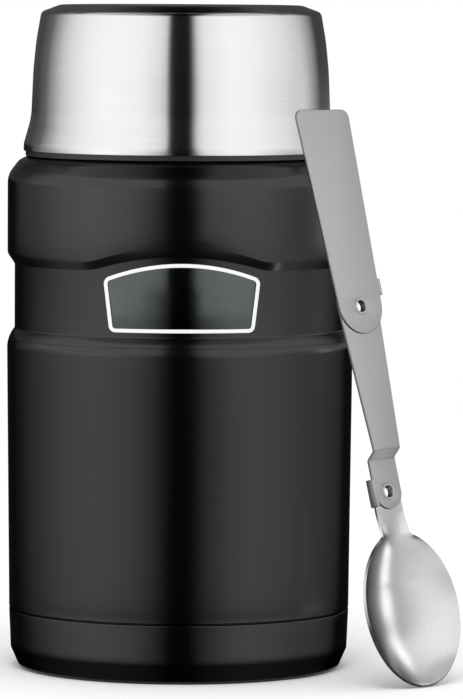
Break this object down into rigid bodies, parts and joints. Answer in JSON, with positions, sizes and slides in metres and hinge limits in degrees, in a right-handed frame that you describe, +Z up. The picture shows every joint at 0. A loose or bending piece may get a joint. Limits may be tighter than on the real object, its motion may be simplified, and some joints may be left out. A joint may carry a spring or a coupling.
{
  "type": "insulated food jar",
  "caption": "Vacuum-insulated wide-mouth food jar with recessed waist, screw-on steel bowl lid, screw-in stopper and a folding spoon leaning beside it.",
  "frame": {"origin": "on the jar's axis, on the surface that the jar stands on", "axes": "+Z up along the jar's axis, badge facing -Y, +X to the right seen from the front, where the spoon stands"},
  "size_m": [0.1323, 0.11, 0.194],
  "materials": {
    "painted_shell": "gloss black enamel",
    "painted_base": "gloss black enamel",
    "steel_inner": "satin stainless steel",
    "plug_metal": "plain",
    "getter_metal": "plain",
    "pad_rubber": "matt",
    "copper_foil": "bright foil",
    "black_plastic": "satin moulded",
    "badge_light": "white print",
    "badge_dark": "satin dark grey",
    "stopper_plastic": "satin moulded",
    "foam": "rigid insulating foam",
    "seal_silicone": "silicone",
    "lid_steel": "fine brushed stainless steel",
    "liner_plastic": "satin moulded",
    "spoon_sheet": "satin tumbled stainless steel",
    "spoon_polished": "semi-polished stainless steel",
    "rivet_steel": "plain stainless steel"
  },
  "bodies": {
    "jar": {"outer_shell": "painted_shell", "base_cap": "painted_base", "vacuum_floor": "steel_inner", "vacuum_plug": "plug_metal", "getter": "getter_metal", "base_pad": "pad_rubber", "inner_vessel": "steel_inner", "radiation_foil": "copper_foil", "neck_collar": "black_plastic", "badge_border": "badge_light", "badge_plate": "badge_dark"},
    "seal_ring": {"stopper_seal": "seal_silicone"},
    "stopper": {"stopper_body": "stopper_plastic", "stopper_cover": "stopper_plastic", "stopper_foam": "foam"},
    "lid_insulation": {"lid_foam": "foam"},
    "lid": {"lid_shell": "lid_steel", "lid_liner": "liner_plastic"},
    "spoon_middle": {"spoon_link": "spoon_sheet", "handle_rivet": "rivet_steel", "bowl_rivet": "rivet_steel"},
    "spoon_upper": {"spoon_handle": "spoon_sheet"},
    "spoon_lower": {"spoon_bowl": "spoon_polished"}
  },
  "joints": [
    {"name": "stopper_rise", "type": "slide", "parent": "jar", "child": "seal_ring", "axis": [0, 0, 1], "range_m": [0, 0.03]},
    {"name": "stopper_turn", "type": "hinge", "parent": "seal_ring", "child": "stopper", "pos_m": [0, 0, 0.1695], "axis": [0, 0, 1], "range_deg": [0, 900]},
    {"name": "lid_rise", "type": "slide", "parent": "stopper", "child": "lid_insulation", "axis": [0, 0, 1], "range_m": [0, 0.03]},
    {"name": "lid_turn", "type": "hinge", "parent": "lid_insulation", "child": "lid", "pos_m": [0, 0, 0.185], "axis": [0, 0, 1], "range_deg": [0, 900]},
    {"name": "spoon_lift", "type": "slide", "parent": "jar", "child": "spoon_middle", "axis": [0, 0, 1], "range_m": [0, 0.1]},
    {"name": "handle_fold", "type": "hinge", "parent": "spoon_middle", "child": "spoon_upper", "pos_m": [0.05169, -0.03485, 0.10801], "axis": [0.6481, -0.7198, 0.2487], "range_deg": [0, 180]},
    {"name": "bowl_fold", "type": "hinge", "parent": "spoon_middle", "child": "spoon_lower", "pos_m": [0.06241, -0.04312, 0.05615], "axis": [0.6481, -0.7198, 0.2487], "range_deg": [0, 180]}
  ],
  "couplings": [
    {"joint": "stopper_rise", "follows": "stopper_turn", "m_per_rad": 0.0019099},
    {"joint": "lid_rise", "follows": "lid_turn", "m_per_rad": 0.0019099}
  ]
}
